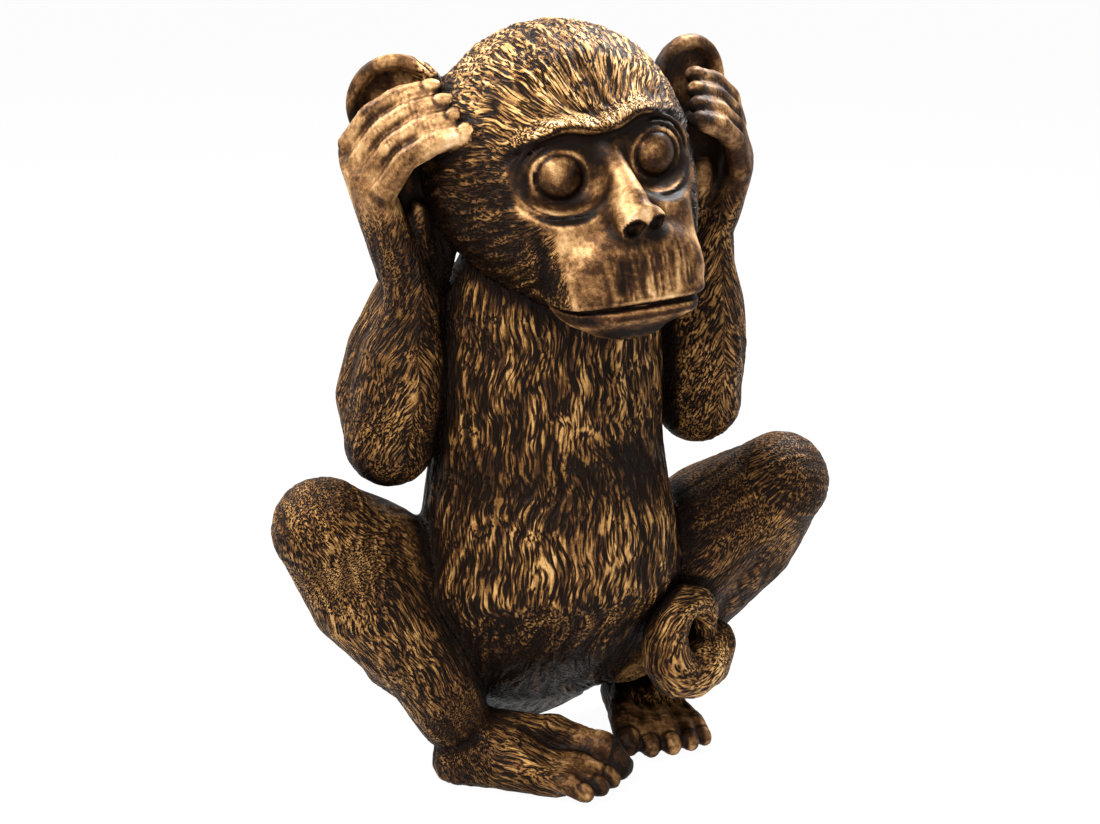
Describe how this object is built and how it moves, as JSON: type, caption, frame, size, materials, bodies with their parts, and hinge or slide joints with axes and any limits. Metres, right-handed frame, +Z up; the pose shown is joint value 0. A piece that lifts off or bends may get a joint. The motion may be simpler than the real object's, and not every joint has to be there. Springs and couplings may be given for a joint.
{
  "type": "seated monkey figurine",
  "caption": "Seated monkey statuette with both hands over its ears and its tail curled in front, cast resin painted as antique bronze.",
  "frame": {"origin": "on the shelf under the middle of the rump, where the seat pad rests", "axes": "+Z up, the monkey faces -Y, +X is the monkey's own left side"},
  "size_m": [0.2518, 0.2224, 0.3345],
  "materials": {
    "antique_bronze_resin": "near-black brown paint, dry-brushed gold on the carved fur, clear gloss",
    "felt": "self-adhesive black felt",
    "pin_steel": "plain cut wire",
    "plug_plastic": "soft black plug"
  },
  "bodies": {
    "root": {"torso": "antique_bronze_resin", "head": "antique_bronze_resin", "right_arm": "antique_bronze_resin", "left_arm": "antique_bronze_resin", "right_leg": "antique_bronze_resin", "left_leg": "antique_bronze_resin", "right_foot_pad": "felt", "left_foot_pad": "felt", "tail": "antique_bronze_resin", "shoulder_pins": "pin_steel", "hip_pins": "pin_steel", "tail_pin": "pin_steel", "base_plug": "plug_plastic", "seat_pad": "felt"}
  },
  "joints": []
}
